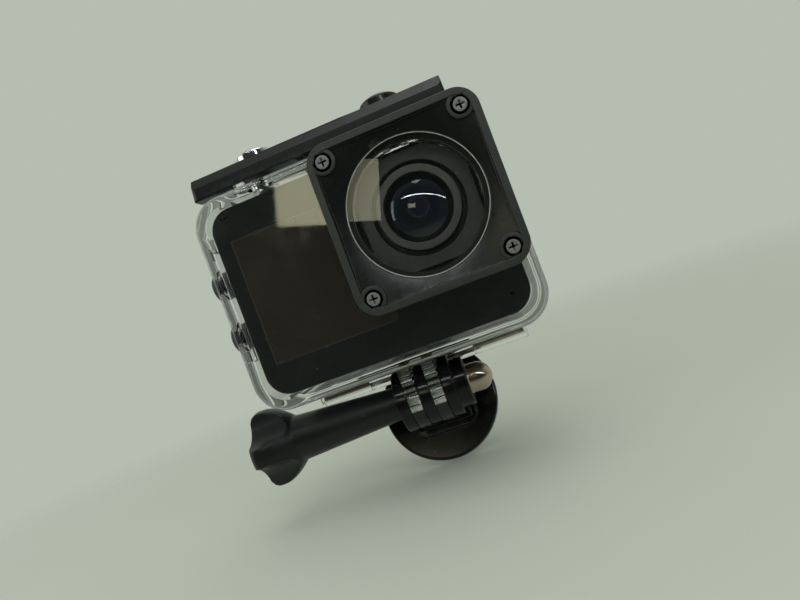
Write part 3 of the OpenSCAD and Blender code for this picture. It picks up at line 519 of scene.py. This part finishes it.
def makeCaseShell():
    bm = mergedCopy("case_shell")
    # the block under the lens frame stands further out than the front wall, so the wall is sought beside it
    face = min(v.co.y for v in bm.verts if v.co.x < middle.x - caseShell["beside"] * mm)
    side = [v.co for v in bm.verts if abs(v.co.y - face) < caseShell["flat"] * mm]
    halfWidth = (max(c.x for c in side) - min(c.x for c in side)) / 2 / mm
    halfHeight = (max(c.z for c in side) - min(c.z for c in side)) / 2 / mm
    rim = sharpEdges(bm, 60, lambda e: e.is_convex and all(
        abs(v.co.y - face) < caseShell["flat"] * mm and nearOutline(v.co, halfWidth, halfHeight)
        for v in e.verts))
    easeEdges(bm, rim, caseShell["round"], easing["cornerSegments"])
    # the block under the lens frame keeps its plain edges, as the frame hides them
    behind = face + caseShell["behind"] * mm
    others = sharpEdges(bm, easing["angle"], lambda e: all(v.co.y > behind for v in e.verts))
    easeEdges(bm, others, caseShell["other"], easing["segments"])
    steadyNormals(finishPiece(bm, "caseShellClear", "case_shell", outward=False))


makeCaseShell()
print("case ready")

def turnRing(bm, centre, section, steps):  # a closed section of radii and depths, turned about Y
    corners = [bm.verts.new(centre + Vector((radius, depth, 0)) * mm) for radius, depth in section]
    sides = [bm.edges.new((corners[k - 1], corners[k])) for k in range(len(corners))]
    bmesh.ops.spin(bm, geom=corners + sides, cent=centre, axis=(0, 1, 0), angle=2 * math.pi, steps=steps,
                   use_merge=True)


windowBead = {"radius": 14.66, "proud": 0.12, "half": 0.13, "valley": 0.72, "teeth": 132, "sides": 6}


def makeWindowBead():  # the fine serrated edge around the window; its pale grey colour is a painted highlight, so it shows as a bright line
    bm = bmesh.new()
    section = []
    for k in range(windowBead["sides"]):
        turn = 2 * math.pi * k / windowBead["sides"]
        section.append((windowBead["radius"] + windowBead["half"] * math.cos(turn),
                        windowBead["proud"] * math.sin(turn)))
    steps = windowBead["teeth"] * 2
    turnRing(bm, windowMiddle, section, steps)
    for v in bm.verts:  # every other turn is lower, and makes a valley between two teeth
        away = v.co - windowMiddle
        if round(math.atan2(away.z, away.x) * steps / (2 * math.pi)) % 2 == 0:
            v.co.y = windowMiddle.y + away.y * windowBead["valley"]
    finishPiece(bm, "windowBead", "window_glass", material=finishes["window_edge"], replace=False,
                smoothAngle=20)


makeWindowBead()
print("window ready")

bossRing = {"pitch": 29.6, "inner": 1.95, "outer": 2.75, "edge": 0.16, "rise": 0.16, "foot": 2.2, "steps": 48}


def makeBossRings():  # the raised collars around the four frame screws
    bm = bmesh.new()
    half = bossRing["pitch"] / 2 * mm
    inner, outer, edge = bossRing["inner"], bossRing["outer"], bossRing["edge"]
    section = [(inner, bossRing["foot"]), (inner, edge * 0.6), (inner + edge * 0.6, 0.0), (outer - edge, 0.0),
               (outer - edge * 0.3, edge * 0.3), (outer, edge), (outer, bossRing["foot"])]
    for signX in (-1, 1):
        for signZ in (-1, 1):
            centre = frameMiddle + Vector((signX * half, bossRing["rise"] * mm, signZ * half))
            turnRing(bm, centre, section, bossRing["steps"])
    finishPiece(bm, "bossRings", "lens_frame", replace=False, smoothAngle=40)


makeBossRings()

screwHead = {"lift": 0.38, "spread": 1.08, "depth": 1.05, "ease": 0.06}


def makeFrameScrews():  # the heads stand a little higher in their collars
    bm = mergedCopy("frame_screws")
    easeEdges(bm, sharpEdges(bm, easing["angle"]), screwHead["ease"], easing["segments"])
    top = min(v.co.y for v in bm.verts)
    half = bossRing["pitch"] / 2 * mm
    for v in bm.verts:
        if v.co.y < top + screwHead["depth"] * mm:
            x = frameMiddle.x + math.copysign(half, v.co.x - frameMiddle.x)
            z = frameMiddle.z + math.copysign(half, v.co.z - frameMiddle.z)
            v.co.x = x + (v.co.x - x) * screwHead["spread"]
            v.co.z = z + (v.co.z - z) * screwHead["spread"]
            v.co.y -= screwHead["lift"] * mm
    finishPiece(bm, "frameScrewHeads", "frame_screws", outward=False)


makeFrameScrews()
print("frame collars and screws ready")

latchBar = {"corner": 1.3, "ease": 0.22}


def makeLatchBar():  # its two ends are rounded more than its long edges
    bm = mergedCopy("latch_bar")
    low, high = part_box("latch_bar")

    def endCorner(e):
        a, b = (v.co for v in e.verts)
        atEnd = all(min(c.x - low.x, high.x - c.x) < 0.05 * mm for c in (a, b))
        return e.is_convex and atEnd and abs(a.z - b.z) > 1.5 * mm and abs(a.y - b.y) < 0.8 * mm

    easeEdges(bm, sharpEdges(bm, 40, endCorner), latchBar["corner"], easing["cornerSegments"])
    easeEdges(bm, sharpEdges(bm, 35), latchBar["ease"], easing["segments"])
    steadyNormals(finishPiece(bm, "latchBarEased", "latch_bar", outward=False))


makeLatchBar()
print("latch bar ready")

stage = {
    "paper": (0.57, 0.595, 0.54, 1), "fibre": (0.6, 0.62, 0.575, 1), "sky": (0.47, 0.51, 0.44, 1),
    "room": (0.03, 0.034, 0.03, 1), "clearRadius": 0.05, "fadeRadius": 0.4, "floorRadius": 0.42,
    "floorDrop": 0.0004,
}


def makeFloor():
    bm = bmesh.new()
    bmesh.ops.create_circle(bm, cap_ends=True, segments=96, radius=stage["floorRadius"])
    bmesh.ops.translate(bm, verts=bm.verts, vec=Vector((0, 0, cadBox[0].z - stage["floorDrop"])))
    mesh = bpy.data.meshes.new("paperFloor")
    bm.to_mesh(mesh)
    bm.free()
    material, tree, shader = newMaterial("palePaper", Roughness=0.85)
    coords = addNode(tree, "ShaderNodeTexCoord")
    fibre = addNode(tree, "ShaderNodeTexNoise", {
        "Vector": coords.outputs["Object"], "Scale": 18.0, "Detail": 6.0})
    base = mixColor(tree, fibre.outputs["Fac"], stage["paper"], stage["fibre"])
    # reflections of the sheet in front of the object are kept dark, like the room there
    split = addNode(tree, "ShaderNodeSeparateXYZ", {"Vector": coords.outputs["Object"]})
    ahead = addNode(tree, "ShaderNodeMapRange", {
        "Value": split.outputs["Y"], "From Min": -0.02, "From Max": -0.12, "To Min": 0.0, "To Max": 1.0})
    path = addNode(tree, "ShaderNodeLightPath")
    dark = addNode(tree, "ShaderNodeMath", {0: ahead.outputs[0], 1: path.outputs["Is Glossy Ray"]},
                   operation="MULTIPLY")
    base = mixColor(tree, dark.outputs[0], base, stage["room"])
    tree.links.new(base, shader.inputs["Base Color"])
    # the sheet fades into the backdrop, so that no edge shows
    reach = addNode(tree, "ShaderNodeVectorMath", {0: coords.outputs["Object"]}, operation="LENGTH")
    fade = addNode(tree, "ShaderNodeMapRange", {
        "Value": reach.outputs["Value"], "From Min": stage["clearRadius"], "From Max": stage["fadeRadius"],
        "To Min": 1.0, "To Max": 0.0}, interpolation_type="SMOOTHSTEP")
    tree.links.new(fade.outputs[0], shader.inputs["Alpha"])
    mesh.materials.append(material)
    floor = bpy.data.objects.new("paperFloor", mesh)
    scene.collection.objects.link(floor)


def makeWorld():
    world = bpy.data.worlds.new("paleStudio")
    scene.world = world
    world.use_nodes = True
    tree = world.node_tree
    tree.nodes.clear()
    path = addNode(tree, "ShaderNodeLightPath")
    coords = addNode(tree, "ShaderNodeTexCoord")
    split = addNode(tree, "ShaderNodeSeparateXYZ", {"Vector": coords.outputs["Generated"]})
    # the room in front of the object is darker than the paper behind it
    depth = addNode(tree, "ShaderNodeMapRange", {
        "Value": split.outputs["Y"], "From Min": -0.6, "From Max": 0.35})
    room = mixColor(tree, depth.outputs[0], stage["room"], stage["sky"])
    color = mixColor(tree, path.outputs["Is Glossy Ray"], stage["sky"], room)
    background = addNode(tree, "ShaderNodeBackground", {"Color": color})
    out = addNode(tree, "ShaderNodeOutputWorld")
    tree.links.new(background.outputs[0], out.inputs["Surface"])


view = {
    "lens": 23.774, "location": (0.018934, -0.142719, 0.029923),
    "forward": (-0.136365, 0.990658, -0.001038), "up": (0.348424, 0.048942, 0.936058),
}


def makeCamera():
    data = bpy.data.cameras.new("viewCamera")
    data.lens = view["lens"]
    data.sensor_width = 36.0
    data.clip_start = 0.005
    camera = bpy.data.objects.new("viewCamera", data)
    scene.collection.objects.link(camera)
    forward = Vector(view["forward"]).normalized()
    up = Vector(view["up"]).normalized()
    right = forward.cross(up).normalized()
    up = right.cross(forward)
    turn = Matrix((right, up, -forward)).transposed().to_4x4()
    camera.matrix_world = Matrix.Translation(Vector(view["location"])) @ turn
    scene.camera = camera
    return right, up, forward


def makeLight(name, spot, target, size, power, color, across=None):
    data = bpy.data.lights.new(name, "AREA")
    data.shape = "RECTANGLE"
    data.size, data.size_y = size
    data.energy = power
    data.color = color
    lamp = bpy.data.objects.new(name, data)
    scene.collection.objects.link(lamp)
    lamp.visible_camera = False
    towards = (target - spot).normalized()
    if across is None:
        turn = towards.to_track_quat("-Z", "Y").to_matrix().to_4x4()
    else:
        side = (across - across.dot(towards) * towards).normalized()
        turn = Matrix((side, (-towards).cross(side), -towards)).transposed().to_4x4()
    lamp.matrix_world = Matrix.Translation(spot) @ turn


lamps = {  # place from the object's middle, size in metres, power in watts, colour
    "softTop": {"place": (0.1, -0.1, 0.55), "size": (0.34, 0.34), "power": 0.65, "color": (0.97, 1.0, 0.98)},
    "softSide": {"place": (-0.5, -0.15, 0.2), "size": (0.35, 0.35), "power": 0.5, "color": (0.97, 1.0, 0.97)},
    "tubeLamp": {"back": 0.32, "above": 0.2, "size": (0.7, 0.012), "power": 0.35, "color": (0.93, 1.0, 0.98)},
    "warmCard": {"across": -0.13257576, "above": 0.19886364, "reach": 0.34, "size": (0.09, 0.05),
                 "power": 0.024, "color": (1.0, 0.97, 0.66)},
}


def makeLights(right, up, forward):
    heart = (cadBox[0] + cadBox[1]) / 2

    def add(name, spot, target=heart, across=None):
        lamp = lamps[name]
        makeLight(name, spot, target, lamp["size"], lamp["power"], lamp["color"], across)

    add("softTop", heart + Vector(lamps["softTop"]["place"]))
    tube = lamps["tubeLamp"]
    add("tubeLamp", heart - forward * tube["back"] + up * tube["above"], across=right)
    add("softSide", heart + Vector(lamps["softSide"]["place"]))
    # a warm card in front of the object, which the glossy front and the window mirror
    card = lamps["warmCard"]
    eye = Vector(view["location"])
    ray = forward + right * card["across"] + up * card["above"]
    onPanel = eye + ray * ((panelLow.y - eye.y) / ray.y)
    back = Vector((ray.x, -ray.y, ray.z)).normalized()
    add("warmCard", onPanel + back * card["reach"], onPanel, right)


scene.view_settings.view_transform = "Standard"
makeFloor()
makeWorld()
makeLights(*makeCamera())
print("stage ready")
